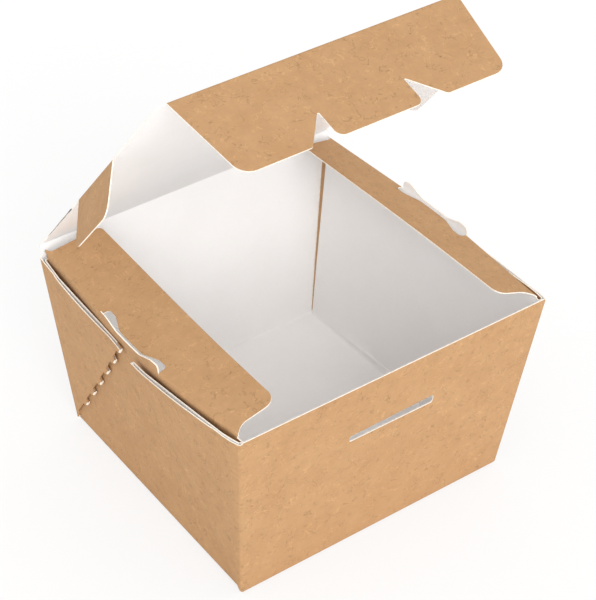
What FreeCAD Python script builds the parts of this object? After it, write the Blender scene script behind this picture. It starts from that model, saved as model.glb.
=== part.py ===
"""Takeaway box folded from one sheet of board: tray with web corners, dust flaps, hinged lid and lock flap.

Millimetres, +Z up. The origin is at the middle of the underside of the floor. +X runs to the right along
the front wall and +Y to the back wall, which carries the lid.
"""
import FreeCAD, Part
import os

import Sketcher

SIZES = {
    # the sheet and its creases
    "board": 0.45,
    "crease_gap": 0.3,
    "layer_gap": 0.5,
    "foot_layer_gap": 0.05,
    "web_fold_start": 1.5,
    "corner_gap": 0.6,
    # the tray, measured over its outside faces
    "base_width": 120,
    "base_depth": 114,
    "top_width": 135,
    "top_depth": 130,
    "box_height": 83,
    # the webs that are folded flat on the outside of the side walls
    "web_end_height": 77,
    "front_web_drop": 0.8,
    "rear_web_drop": 4.2,
    # the slot in the front wall for the lid's tongue
    "slot_length": 37.5,
    "slot_height": 3.8,
    "slot_depth": 25.2,
    # the lock tabs that stay standing in the side walls, and the cut-outs they leave in the dust flaps
    "tab_setback": 66,
    "tab_root": 38,
    "tab_lobe_width": 4.6,
    "tab_lobe_height": 4.2,
    "tab_dip_width": 15,
    "tab_dip_height": 1.3,
    "tab_round": 1.6,
    "tab_cut": 0.15,
    # the dust flaps, raised by the spring of their creases
    "dust_width_rear": 20,
    "dust_width_front": 18.2,
    "dust_rise": 18,
    "dust_rear_root": 62.4,
    "dust_rear_waist": 58.7,
    "dust_rear_edge": 55.6,
    "dust_front_root": 62,
    "dust_front_edge": 58.9,
    "dust_waist_width": 4,
    "dust_waist_round": 5,
    "dust_rear_round": 3,
    "dust_front_round": 4.5,
    # the lid
    "lid_crease_rise": 1.2,
    "lid_length": 130.8,
    "lid_width_rear": 130,
    "lid_width_front": 125,
    "lid_corner_round": 4,
    "lid_open": 52.4,
    # the lid's side flaps
    "side_flap_length": 38.4,
    "side_flap_end": 35.4,
    "side_flap_width": 19.6,
    "side_flap_round": 5,
    "side_flap_fold": 57.5,
    # the lid's lock flap, with two ears and a tongue between them
    "lock_root": 118.6,
    "lock_end": 109,
    "lock_width": 36.5,
    "lock_corner_round": 6,
    "lock_fold": 66.6,
    "tongue_width": 35,
    "tongue_cut_height": 24,
    "tongue_round": 3,
    "ear_gap": 10.5,
    "ear_round": 1.5,
}

# sizes worked out from the sheet, as expressions on its cells
BASE_X = "(Sizes.base_width / 2 - Sizes.board / 2)"
BASE_Y = "(Sizes.base_depth / 2 - Sizes.board / 2)"
BASE_Z = "(Sizes.board / 2)"
TOP_Y = "(Sizes.top_depth / 2 - Sizes.board / 2)"
LAYER_STEP = "(Sizes.board + Sizes.layer_gap)"
FOOT_STEP = "(Sizes.board + Sizes.foot_layer_gap)"
OUTER_LAYER_X = "(Sizes.top_width / 2 - Sizes.board / 2)"
CREASE_X = f"({OUTER_LAYER_X} - 2 * {LAYER_STEP})"
RISE = f"(Sizes.box_height - {BASE_Z})"
END_LEAN = f"(atan(({TOP_Y} - {BASE_Y}) / {RISE}) / 1 deg)"
END_SLANT = f"({RISE} / cos({END_LEAN}))"
FOLD_RADIUS = f"(({LAYER_STEP} + Sizes.board) / 2)"
INNER_CORNER_Y = f"({TOP_Y} - Sizes.board / 2 - Sizes.corner_gap - {FOLD_RADIUS})"
LID_Y = f"({TOP_Y} + Sizes.lid_crease_rise * tan({END_LEAN}))"
LID_Z = "(Sizes.box_height + Sizes.lid_crease_rise)"
LID_PLACE = f"placement(vector(0; {LID_Y}; {LID_Z}); rotation(0; 0; 180 - Sizes.lid_open))"
TAB_Y = f"({LID_Y} - Sizes.tab_setback)"


def layer_foot(layer):
    """Where a side's sheet meets the floor: 0 is the side wall, 1 and 2 are the web's layers."""
    return f"({BASE_X} - (2 - {layer}) * {FOOT_STEP})"


def layer_lean(layer):
    """Lean of a sheet beside the box, in degrees."""
    return f"(atan(({CREASE_X} + {layer} * {LAYER_STEP} - {layer_foot(layer)}) / {RISE}) / 1 deg)"


def layer_slant(layer):
    """Length of that sheet from the bottom crease to the height of the rim."""
    return f"({RISE} / cos({layer_lean(layer)}))"


def corner_angle(top_y, layer):
    """Angle between a side sheet's bottom crease and its corner edge."""
    return f"(90 - atan(({top_y} - {BASE_Y}) / {layer_slant(layer)}) / 1 deg)"


END_ANGLE = f"(90 + atan(({OUTER_LAYER_X} - {BASE_X}) / {END_SLANT}) / 1 deg)"
GUSSET_HALF = f"((270 - {END_ANGLE} - (180 - {corner_angle(TOP_Y, 2)})) / 2)"
DIAGONAL_ANGLE = f"({corner_angle(TOP_Y, 2)} + {GUSSET_HALF})"
DIAGONAL_LENGTH = f"(Sizes.web_end_height / sin({DIAGONAL_ANGLE}))"

SIDE_SLANT = layer_slant(0)
END_HALF_TOP = f"({OUTER_LAYER_X} + Sizes.board / 2)"
SIDE_TOP = f"({SIDE_SLANT} - Sizes.crease_gap)"

doc = FreeCAD.newDocument("takeaway_box")
sheet = doc.addObject("Spreadsheet::Sheet", "Sizes")
for row, (alias, size) in enumerate(SIZES.items(), start=1):
    sheet.set(f"A{row}", alias)
    sheet.set(f"B{row}", str(size))
    sheet.setAlias(f"B{row}", alias)
doc.recompute()


def value(expression):
    """The number that an expression on the sheet's cells stands for."""
    result = sheet.evalExpression(expression)
    return float(getattr(result, "Value", result))


def add_loop(sketch, points):
    """Draws a closed outline and ties each of its corners to the sheet."""
    corners = [FreeCAD.Vector(value(x), value(y), 0) for x, y in points]
    first = sketch.GeometryCount
    count = len(points)
    for i, corner in enumerate(corners):
        sketch.addGeometry(Part.LineSegment(corner, corners[(i + 1) % count]), False)
    for i in range(count):
        sketch.addConstraint(Sketcher.Constraint("Coincident", first + i, 2, first + (i + 1) % count, 1))
    for i, (x, y) in enumerate(points):
        for kind, expression in (("DistanceX", x), ("DistanceY", y)):
            constraint = Sketcher.Constraint(kind, -1, 1, first + i, 1, value(expression))
            number = sketch.addConstraint(constraint)
            sketch.setExpression(f"Constraints[{number}]", expression)


def edges_at(shape, points):
    """Names of the edges that cross the board at the given corners of its outline."""
    corners = [(value(x), value(y)) for x, y in points]
    names = []
    for number, edge in enumerate(shape.Edges, start=1):
        ends = [(v.X, v.Y) for v in edge.Vertexes]
        for corner in corners:
            if all(abs(end[0] - corner[0]) + abs(end[1] - corner[1]) < 1e-4 for end in ends):
                names.append(f"Edge{number}")
    return names


def panel(name, outline, placement, rounds=(), holes=()):
    """A flat panel: its outline is padded by half the board to each side, then its corners are rounded."""
    body = doc.addObject("PartDesign::Body", name)
    sketch = body.newObject("Sketcher::SketchObject", f"{name}_outline")
    plane = next(item for item in body.Origin.OriginFeatures if item.Role == "XY_Plane")
    sketch.AttachmentSupport = [(plane, "")]
    sketch.MapMode = "FlatFace"
    add_loop(sketch, outline)
    for hole in holes:
        add_loop(sketch, hole)
    pad = body.newObject("PartDesign::Pad", f"{name}_board")
    pad.Profile = sketch
    pad.SideType = "Symmetric"
    pad.setExpression("Length", "Sizes.board")
    doc.recompute()
    base = pad
    for number, (radius, corners) in enumerate(rounds, start=1):
        fillet = body.newObject("PartDesign::Fillet", f"{name}_round_{number}")
        fillet.Base = (base, edges_at(base.Shape, corners))
        fillet.setExpression("Radius", radius)
        doc.recompute()
        base = fillet
    body.Tip = base
    body.setExpression("Placement", placement)
    return body


def end_place(turn):
    """The front or back wall's own frame: x along its bottom crease, y up the wall, z outwards."""
    side = {0: "-", 180: ""}[turn]
    return f"placement(vector(0; {side}{BASE_Y}; {BASE_Z}); rotation({turn}; 0; 90 + {END_LEAN}))"


def side_place(turn, layer):
    """The same frame for a side wall or a web's layer."""
    side = {90: "", -90: "-"}[turn]
    start = f"vector({side}{layer_foot(layer)}; 0; {BASE_Z})"
    return f"placement({start}; rotation({turn}; 0; 90 + {layer_lean(layer)}))"


def tab_points(centre, foot, cut):
    """Outline of a lock tab, or of the cut-out it leaves: two lobes with a shallow dip between them."""
    half_root = f"(Sizes.tab_root / 2 + {cut})"
    half_dip = "(Sizes.tab_dip_width / 2)"
    lobe_in = f"({half_root} - Sizes.tab_lobe_width)"
    high = f"(Sizes.tab_lobe_height + {cut})"
    low = f"(Sizes.tab_dip_height + {cut})"
    right = [
        (f"{centre} + {half_root}", foot),
        (f"{centre} + {half_root}", high),
        (f"{centre} + {lobe_in}", high),
        (f"{centre} + {half_dip}", low),
    ]
    left = [(x.replace(f"{centre} + ", f"{centre} - ", 1), y) for x, y in reversed(right)]
    return right + left


def floor():
    """The floor, as wide as the outside of the walls' bottom creases."""
    half_width = f"({layer_foot(0)} + Sizes.board / 2)"
    box = doc.addObject("Part::Box", "floor")
    box.setExpression("Length", f"2 * {half_width}")
    box.setExpression("Width", "Sizes.base_depth")
    box.setExpression("Height", "Sizes.board")
    corner = f"vector(-{half_width}; -Sizes.base_depth / 2; 0)"
    box.setExpression("Placement", f"placement({corner}; rotation(0; 0; 0))")
    return box


def front_wall():
    """The front wall, with the slot that takes the tongue."""
    low = f"({END_SLANT} - Sizes.slot_depth - Sizes.slot_height / 2)"
    high = f"({END_SLANT} - Sizes.slot_depth + Sizes.slot_height / 2)"
    slot = [
        ("-Sizes.slot_length / 2", low),
        ("Sizes.slot_length / 2", low),
        ("Sizes.slot_length / 2", high),
        ("-Sizes.slot_length / 2", high),
    ]
    return panel("front_wall", end_outline(END_SLANT), end_place(0), holes=[slot])


def back_wall():
    """The back wall, which rises past the rim to the lid's crease."""
    top = f"({END_SLANT} + Sizes.lid_crease_rise / cos({END_LEAN}) - Sizes.crease_gap)"
    half = f"({CREASE_X})"
    rim = end_outline(END_SLANT)
    outline = rim[:3] + [(half, top), (f"-{half}", top)] + rim[3:]
    return panel("back_wall", outline, end_place(180))


def end_outline(top):
    """Outline of the front or back wall up to the rim."""
    foot = f"({BASE_X} + Sizes.board / 2)"
    return [(f"-{foot}", "0"), (foot, "0"), (END_HALF_TOP, top), (f"-{END_HALF_TOP}", top)]


def side_wall(name, turn, toward_back):
    """A side wall with its lock tab standing above the dust flap's crease."""
    centre = f"({toward_back} * {TAB_Y})"
    tab = tab_points(centre, SIDE_TOP, "0")
    tab = [(x, y if y == SIDE_TOP else f"({SIDE_SLANT} + {y})") for x, y in tab]
    outline = [
        (f"-{BASE_Y}", "0"),
        (BASE_Y, "0"),
        (INNER_CORNER_Y, SIDE_TOP),
        *tab,
        (f"-{INNER_CORNER_Y}", SIDE_TOP),
    ]
    rounds = [("Sizes.tab_round", [tab[i] for i in (1, 2, 5, 6)])]
    return panel(name, outline, side_place(turn, 0), rounds)


def web_layer(name, turn, end, layer, drop):
    """One layer of a web, from the corner to the diagonal fold."""
    top_y = TOP_Y if layer == 2 else INNER_CORNER_Y
    share = f"(1 - {drop} / {layer_slant(layer)})"
    outline = [
        (f"{end} * {BASE_Y}", "0"),
        (f"{end} * ({BASE_Y} + ({top_y} - {BASE_Y}) * {share})", f"{layer_slant(layer)} * {share}"),
        (f"{end} * ({BASE_Y} + {DIAGONAL_LENGTH} * cos({DIAGONAL_ANGLE}))", "Sizes.web_end_height"),
    ]
    return panel(name, outline, side_place(turn, layer))


def web_fold(name, turn, end, layer, angle, length, share):
    """The folded edge between two layers, from the bottom corner up: it widens as the layers part."""
    heading = angle if end > 0 else f"(180 - {angle})"
    turned = f"placement(vector({end} * {BASE_Y}; 0; 0); rotation({heading}; 0; 0))"
    across = "placement(vector(0; 0; 0); rotation(0; 0; 90))"
    foot = f"({FOOT_STEP} / 2)"
    top = f"(({FOOT_STEP} + ({LAYER_STEP} - {FOOT_STEP}) * {share}) / 2)"
    start = "Sizes.web_fold_start"
    outline = [(start, f"-{foot}"), (length, f"-{top}"), (length, top), (start, foot)]
    return panel(name, outline, f"{side_place(turn, layer)} * {turned} * {across}")


def web(side, turn, corner, end, drop):
    """A web corner: the inner layer is folded back from the side wall, the outer one wraps the corner."""
    stem = f"{side}_{corner}_web"
    edge_angle = corner_angle(INNER_CORNER_Y, 1)
    edge_length = f"(({SIDE_SLANT} - {drop}) / sin({edge_angle}))"
    edge_share = f"(1 - {drop} / {layer_slant(1)})"
    diagonal_share = f"(Sizes.web_end_height / {layer_slant(1)})"
    return [
        web_layer(f"{stem}_inner", turn, end, 1, drop),
        web_layer(f"{stem}_outer", turn, end, 2, drop),
        web_fold(f"{stem}_corner", turn, end, 0.5, edge_angle, edge_length, edge_share),
        web_fold(f"{stem}_diagonal", turn, end, 1.5, DIAGONAL_ANGLE, DIAGONAL_LENGTH, diagonal_share),
    ]


def joined(name, pieces):
    """One solid from several overlapping pieces, joined one after another."""
    whole = pieces[0]
    last = len(pieces) - 1
    for number, piece in enumerate(pieces[1:], start=1):
        fuse = doc.addObject("Part::Fuse", name if number == last else f"{name}_join_{number}")
        fuse.Base = whole
        fuse.Tool = piece
        fuse.Refine = False
        whole = fuse
    return whole


def tray():
    """Floor, walls, webs and lock tabs as the one folded sheet they are."""
    pieces = [floor(), front_wall(), back_wall()]
    pieces.append(side_wall("left_wall", -90, -1))
    pieces.append(side_wall("right_wall", 90, 1))
    for side, turn, front in (("left", -90, 1), ("right", 90, -1)):
        pieces += web(side, turn, "front", front, "Sizes.front_web_drop")
        pieces += web(side, turn, "rear", -front, "Sizes.rear_web_drop")
    return joined("tray", pieces)


def dust_flap(name, turn, toward_back):
    """A dust flap on a side wall's crease, with the cut-out that its lock tab leaves."""
    back = toward_back
    foot = "Sizes.crease_gap"
    cut = tab_points(f"({back} * {TAB_Y})", foot, "Sizes.tab_cut")
    rear_waist = (f"{back} * Sizes.dust_rear_waist", "Sizes.dust_waist_width")
    rear_corner = (f"{back} * Sizes.dust_rear_edge", "Sizes.dust_width_rear")
    front_corner = (f"-{back} * Sizes.dust_front_edge", "Sizes.dust_width_front")
    front_waist = (f"-{back} * Sizes.dust_front_edge", "Sizes.dust_waist_width")
    edge = [
        (f"{back} * Sizes.dust_rear_root", foot),
        rear_waist,
        rear_corner,
        front_corner,
        front_waist,
        (f"-{back} * Sizes.dust_front_root", foot),
    ]
    outline = edge + (list(reversed(cut)) if back > 0 else cut)
    rounds = [
        ("Sizes.tab_round", [cut[i] for i in (1, 2, 5, 6)]),
        ("Sizes.dust_waist_round", [rear_waist, front_waist]),
        ("Sizes.dust_rear_round", [rear_corner]),
        ("Sizes.dust_front_round", [front_corner]),
    ]
    side = {90: "-", -90: ""}[turn]
    crease = f"vector({side}{CREASE_X}; 0; Sizes.box_height)"
    place = f"placement({crease}; rotation({turn}; 0; 180 - Sizes.dust_rise))"
    return panel(name, outline, place, rounds)


def lid():
    """The lid's panel, a little narrower at the front, with rounded front corners."""
    rear = "(Sizes.lid_width_rear / 2 - Sizes.crease_gap)"
    front = "(Sizes.lid_width_front / 2 - Sizes.crease_gap)"
    end = "(Sizes.lid_length - Sizes.crease_gap)"
    corners = [(front, end), (f"-{front}", end)]
    outline = [(f"-{rear}", "Sizes.crease_gap"), (rear, "Sizes.crease_gap"), *corners]
    return panel("lid", outline, LID_PLACE, [("Sizes.lid_corner_round", corners)])


def side_flap(name, side):
    """A flap on the side of the lid, which tucks in behind a lock tab."""
    root = "(Sizes.side_flap_length / 2)"
    end = "(Sizes.side_flap_end / 2)"
    corners = [(end, "Sizes.side_flap_width"), (f"-{end}", "Sizes.side_flap_width")]
    outline = [(f"-{root}", "Sizes.crease_gap"), (root, "Sizes.crease_gap"), *corners]
    narrowing = "((Sizes.lid_width_rear - Sizes.lid_width_front) / 2)"
    taper = f"(atan({narrowing} / Sizes.lid_length) / 1 deg)"
    across = f"({side} * (Sizes.lid_width_rear / 2 - {narrowing} * Sizes.tab_setback / Sizes.lid_length))"
    turn = f"rotation({-side} * (90 - {taper}); 0; Sizes.side_flap_fold)"
    turned = f"placement(vector({across}; Sizes.tab_setback; 0); {turn})"
    return panel(name, outline, f"{LID_PLACE} * {turned}", [("Sizes.side_flap_round", corners)])


def lock_flap():
    """The flap on the front of the lid: two ears, and the tongue that goes into the front wall's slot."""
    right = [
        ("Sizes.lock_root / 2", "Sizes.crease_gap"),
        ("Sizes.lock_end / 2", "Sizes.lock_width"),
        ("Sizes.tongue_width / 2 + Sizes.ear_gap", "Sizes.lock_width"),
        ("Sizes.tongue_width / 2", "Sizes.tongue_cut_height"),
        ("Sizes.tongue_width / 2", "Sizes.lock_width"),
    ]
    left = [(f"-({x})", y) for x, y in reversed(right)]
    rounds = [
        ("Sizes.lock_corner_round", [right[1], left[3]]),
        ("Sizes.ear_round", [right[2], left[2]]),
        ("Sizes.tongue_round", [right[4], left[0]]),
    ]
    turned = "placement(vector(0; Sizes.lid_length; 0); rotation(0; 0; Sizes.lock_fold))"
    return panel("lock_flap", right + left, f"{LID_PLACE} * {turned}", rounds)


nodes = [
    tray(),
    dust_flap("dust_flap_left", 90, 1),
    dust_flap("dust_flap_right", -90, -1),
    lid(),
    side_flap("side_flap_left", -1),
    side_flap("side_flap_right", 1),
    lock_flap(),
]
doc.recompute()

for item in doc.Objects:
    if {"Invalid", "Error"} & set(item.State):
        raise RuntimeError(f"{item.Name} failed: {item.State}")
for node in nodes:
    if node.Shape.isNull() or not node.Shape.isValid():
        raise RuntimeError(f"{node.Label} has no valid shape")
    if len(node.Shape.Solids) != 1:
        raise RuntimeError(f"{node.Label} is {len(node.Shape.Solids)} solids, not one")

os.makedirs("parts", exist_ok=True)
for node in nodes:
    node.Shape.exportStep(f"parts/{node.Label}.step")
    box = node.Shape.BoundBox
    print(
        f"{node.Label}: volume {node.Shape.Volume:.1f}, x {box.XMin:.2f} {box.XMax:.2f}, "
        f"y {box.YMin:.2f} {box.YMax:.2f}, z {box.ZMin:.2f} {box.ZMax:.2f}"
    )
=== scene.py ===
"""Looks of the takeaway box: kraft board outside, white inside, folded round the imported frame.

Sizes are millimetres in the classes below and metres in the meshes. The box stands on z = 0, its front wall
faces -Y and its lid is creased to the back wall.
"""
import logging
import math
from collections.abc import Callable, Sequence
from dataclasses import dataclass, field
from enum import Enum

import bmesh
import bpy
import numpy as np
from mathutils import Matrix, Vector
from mathutils.geometry import delaunay_2d_cdt


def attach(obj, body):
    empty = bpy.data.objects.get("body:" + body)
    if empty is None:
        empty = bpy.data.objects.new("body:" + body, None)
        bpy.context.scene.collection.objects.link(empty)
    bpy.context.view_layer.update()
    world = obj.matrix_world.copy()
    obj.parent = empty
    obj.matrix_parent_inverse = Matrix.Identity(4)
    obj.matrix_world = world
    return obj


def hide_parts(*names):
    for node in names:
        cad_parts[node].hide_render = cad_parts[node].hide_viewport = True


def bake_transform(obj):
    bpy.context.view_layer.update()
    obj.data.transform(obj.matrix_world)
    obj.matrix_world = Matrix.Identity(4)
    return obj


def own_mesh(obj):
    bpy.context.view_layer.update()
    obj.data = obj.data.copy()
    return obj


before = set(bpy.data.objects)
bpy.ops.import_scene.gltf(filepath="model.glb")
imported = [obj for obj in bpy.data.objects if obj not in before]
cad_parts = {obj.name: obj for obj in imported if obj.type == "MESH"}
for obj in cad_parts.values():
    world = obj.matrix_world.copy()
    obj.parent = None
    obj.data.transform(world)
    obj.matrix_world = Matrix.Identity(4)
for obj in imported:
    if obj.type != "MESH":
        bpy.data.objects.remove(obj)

log = logging.getLogger("takeaway_box")

MM = 0.001
SHARP_ANGLE = 35.0
SIDE_WORDS = {-1: "left", 1: "right"}
Point = tuple[float, float]
Triple = tuple[float, float, float]
Colour = tuple[float, float, float, float]
PointRule = Callable[[np.ndarray], np.ndarray]
WHITE: Colour = (1, 1, 1, 1)


class Skin(Enum):
    """The three faces that a piece of board shows, as material indices."""

    KRAFT = 0
    WHITE = 1
    CUT = 2


def turned(point: Point, degrees: float) -> Point:
    """The point turned about the origin, anticlockwise."""
    c, s = math.cos(math.radians(degrees)), math.sin(math.radians(degrees))
    return (point[0] * c - point[1] * s, point[0] * s + point[1] * c)


def mirrored(points: Sequence[Point]) -> list[Point]:
    """The points reflected in x = 0, in reverse order, to continue an outline."""
    return [(-x, y) for x, y in reversed(points)]


def linked(name: str, data: bpy.types.ID) -> bpy.types.Object:
    """Makes an object in the scene.

    Args:
        name: the object's name.
        data: its mesh, camera or lamp.

    Returns:
        The object.
    """
    made = bpy.data.objects.new(name, data)
    bpy.context.scene.collection.objects.link(made)
    return made


def mounted(piece: bpy.types.Object, body: str, node: str) -> bpy.types.Object:
    """Puts a piece on its body, in place of a CAD node.

    Args:
        piece: the piece.
        body: the body that it moves with.
        node: the CAD node that it stands for.

    Returns:
        The same piece.
    """
    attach(piece, body)
    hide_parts(node)
    return piece


@dataclass(frozen=True)
class BoxSizes:
    """Main sizes of the box, in millimetres and degrees."""

    board: float = 0.45
    base_width: float = 120.0
    base_depth: float = 114.0
    top_width: float = 135.0
    top_depth: float = 130.0
    height: float = 83.0
    layer_gap: float = 0.5
    foot_layer_gap: float = 0.05
    corner_gap: float = 0.6
    web_end_height: float = 77.5
    front_drop: float = 0.8
    rear_drop: float = 4.2
    lid_crease_rise: float = 1.2
    lid_open: float = 52.4
    lid_length: float = 130.8
    dust_rise: float = 18.0
    crease_radius: float = 0.75
    corner_radius: float = 0.95
    rim_radius: float = 1.3

    @property
    def base_x(self) -> float:
        """Middle of the outer web layer at the floor."""
        return (self.base_width - self.board) / 2

    @property
    def base_y(self) -> float:
        """Middle of the front wall's board at the floor."""
        return (self.base_depth - self.board) / 2

    @property
    def base_z(self) -> float:
        """Middle of the floor's board."""
        return self.board / 2

    @property
    def top_x(self) -> float:
        """Middle of the outer web layer at the rim."""
        return (self.top_width - self.board) / 2

    @property
    def top_y(self) -> float:
        """Middle of the front wall's board at the rim."""
        return (self.top_depth - self.board) / 2

    @property
    def rise(self) -> float:
        """Height of the rim over the middle of the floor's board."""
        return self.height - self.base_z

    @property
    def end_lean(self) -> float:
        """Outward lean of the front and back walls, in degrees."""
        return math.degrees(math.atan((self.top_y - self.base_y) / self.rise))

    @property
    def end_slant(self) -> float:
        """Length of the front wall from its crease to the rim."""
        return self.rise / math.cos(math.radians(self.end_lean))

    @property
    def layer_step(self) -> float:
        """Distance between neighbouring layers at the rim."""
        return self.board + self.layer_gap

    @property
    def crease_x(self) -> float:
        """Where the side wall meets its dust flap."""
        return self.top_x - 2 * self.layer_step

    @property
    def lid_y(self) -> float:
        """Where the lid's crease lies behind the rim."""
        return self.top_y + self.lid_crease_rise * math.tan(math.radians(self.end_lean))

    @property
    def lid_z(self) -> float:
        """Height of the lid's crease."""
        return self.height + self.lid_crease_rise

    @property
    def inner_corner_y(self) -> float:
        """Where a side wall's upright edge ends at the rim."""
        return self.top_y - self.board / 2 - self.corner_gap - (self.layer_step + self.board) / 2

    @property
    def web_lean(self) -> float:
        """Lean of a web's corner line in the side's outer sheet, in degrees."""
        return math.degrees(math.atan((self.top_y - self.base_y) / self.layer_slant(2)))

    def layer_foot(self, layer: int) -> float:
        """Where a side's sheet meets the floor: 0 is the side wall, 1 and 2 are the web's layers."""
        return self.base_x - (2 - layer) * (self.board + self.foot_layer_gap)

    def layer_lean(self, layer: int) -> float:
        """Lean of that sheet, in degrees."""
        run = self.crease_x + layer * self.layer_step - self.layer_foot(layer)
        return math.degrees(math.atan(run / self.rise))

    def layer_slant(self, layer: int) -> float:
        """Length of that sheet from the floor to the height of the rim."""
        return self.rise / math.cos(math.radians(self.layer_lean(layer)))


@dataclass(frozen=True)
class Crease:
    """A fold in a flat sheet: what lies past its line turns away from the outer face on a small arc."""

    start: Point
    toward: Point
    angle: float
    radius: float
    steps: int = 6

    @property
    def reach(self) -> float:
        """Half the width of the sheet that the arc takes."""
        return self.radius * math.tan(math.radians(abs(self.angle)) / 2)

    @property
    def across(self) -> np.ndarray:
        """Unit vector across the crease, toward the side that turns."""
        way = np.array(self.toward, float)
        return way / np.linalg.norm(way)

    def lines(self, length: float = 220.0) -> list[tuple[Point, Point]]:
        """The straight lines that divide the arc, in the flat sheet.

        Args:
            length: how far each line runs to both sides of the start.

        Returns:
            Pairs of end points.
        """
        way = self.across
        along = np.array([-way[1], way[0]])
        found = []
        for share in np.linspace(-1, 1, self.steps + 1):
            middle = np.array(self.start) + way * self.reach * share
            found.append((tuple(middle - along * length), tuple(middle + along * length)))
        return found

    def bend(self, points: np.ndarray, sheet: "FlatSheet") -> np.ndarray:
        """Turns the points past the line.

        Args:
            points: places in the box's frame, in millimetres.
            sheet: the flat sheet that the crease's start and direction are given in.

        Returns:
            The moved points.
        """
        toward = sheet.direction(self.across)
        normal = sheet.normal
        origin = sheet.place(np.array([self.start]), 0.0)[0]
        rel = points - origin
        d, h = rel @ toward, rel @ normal
        along = rel - np.outer(d, toward) - np.outer(h, normal)
        theta, side = math.radians(abs(self.angle)), math.copysign(1.0, self.angle)
        phi = np.clip((d + self.reach) / (2 * self.reach), 0, 1) * theta
        beyond = np.maximum(d - self.reach, 0)
        arc = self.radius + side * h
        new_d = -self.reach + arc * np.sin(phi) + beyond * math.cos(theta)
        new_h = side * (-self.radius + arc * np.cos(phi) - beyond * math.sin(theta))
        moved = origin + along + np.outer(new_d, toward) + np.outer(new_h, normal)
        return np.where((d > -self.reach)[:, None], moved, points)


@dataclass(frozen=True)
class FlatSheet:
    """Where a flat sheet lies before it is folded: its origin, its two directions and its outer normal."""

    origin: Triple
    right: Triple
    up: Triple
    normal_side: float = 1.0

    @property
    def normal(self) -> np.ndarray:
        """Unit normal of the sheet's kraft face."""
        return np.cross(self.right, self.up) * self.normal_side

    def direction(self, flat: np.ndarray) -> np.ndarray:
        """A flat direction in the box's frame."""
        return np.array(self.right) * flat[0] + np.array(self.up) * flat[1]

    def place(self, flat: np.ndarray, height: float) -> np.ndarray:
        """Flat points, lifted off the middle of the board toward the kraft face."""
        spread = np.outer(flat[:, 0], self.right) + np.outer(flat[:, 1], self.up)
        return np.array(self.origin) + spread + self.normal * height


def side_sheet(sizes: BoxSizes, side: int, layer: int, normal_side: float) -> FlatSheet:
    """The flat sheet of one layer of a side, with x along the side and y up it.

    Args:
        sizes: the box's sizes.
        side: -1 left, 1 right.
        layer: 0 for the side wall, 1 and 2 for the web's layers.
        normal_side: 1 or -1, the way that the kraft face looks.

    Returns:
        The sheet, from the floor up.
    """
    lean = math.radians(sizes.layer_lean(layer))
    origin = (side * sizes.layer_foot(layer), 0, sizes.base_z)
    return FlatSheet(origin, (0, 1, 0), (side * math.sin(lean), 0, math.cos(lean)), normal_side)


@dataclass(frozen=True)
class Rounded:
    """A corner of an outline with a radius."""

    at: Point
    radius: float


def rounded_outline(
    corners: Sequence[Point | Rounded], steps: int = 7, most: float = 0.49
) -> list[Point]:
    """Rounds the marked corners of an outline.

    Args:
        corners: the outline's corners in order, plain or Rounded.
        steps: pieces in each arc.
        most: the share of a side that one corner may take.

    Returns:
        The outline as plain points.
    """
    plain = [c.at if isinstance(c, Rounded) else c for c in corners]
    outline: list[Point] = []
    for i, corner in enumerate(corners):
        if not isinstance(corner, Rounded):
            outline.append(plain[i])
            continue
        here = np.array(plain[i])
        before = np.array(plain[i - 1]) - here
        after = np.array(plain[(i + 1) % len(plain)]) - here
        before_length, after_length = np.linalg.norm(before), np.linalg.norm(after)
        before, after = before / before_length, after / after_length
        half = math.acos(np.clip(before @ after, -1, 1)) / 2
        cut = min(corner.radius / math.tan(half), most * before_length, most * after_length)
        radius = cut * math.tan(half)
        bisector = (before + after) / np.linalg.norm(before + after)
        centre = here + bisector * radius / math.sin(half)
        first = here + before * cut - centre
        last = here + after * cut - centre
        a0, a1 = math.atan2(first[1], first[0]), math.atan2(last[1], last[0])
        sweep = (a1 - a0 + math.pi) % (2 * math.pi) - math.pi
        for share in np.linspace(0, 1, steps + 1):
            a = a0 + sweep * share
            outline.append((centre[0] + radius * math.cos(a), centre[1] + radius * math.sin(a)))
    return outline


def inside(points: np.ndarray, loop: Sequence[Point]) -> np.ndarray:
    """Finds which points lie in a closed loop.

    Args:
        points: flat points.
        loop: the loop's corners.

    Returns:
        True for each point inside.
    """
    ring = np.array(loop)
    x, y = points[:, 0], points[:, 1]
    odd = np.zeros(len(points), bool)
    for (x0, y0), (x1, y1) in zip(ring, np.roll(ring, -1, axis=0)):
        if y0 == y1:
            continue
        crosses = (y0 > y) != (y1 > y)
        odd ^= crosses & (x < (x1 - x0) * (y - y0) / (y1 - y0) + x0)
    return odd


def clearance(points: np.ndarray, loop: Sequence[Point]) -> np.ndarray:
    """Measures how far points lie from a closed loop.

    Args:
        points: flat points.
        loop: the loop's corners.

    Returns:
        The distance from each point to the nearest side.
    """
    ring = np.array(loop)
    best = np.full(len(points), np.inf)
    tiny = 1e-12
    for a, b in zip(ring, np.roll(ring, -1, axis=0)):
        side = b - a
        t = np.clip((points - a) @ side / max(side @ side, tiny), 0, 1)
        best = np.minimum(best, np.linalg.norm(points - a - np.outer(t, side), axis=1))
    return best


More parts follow.
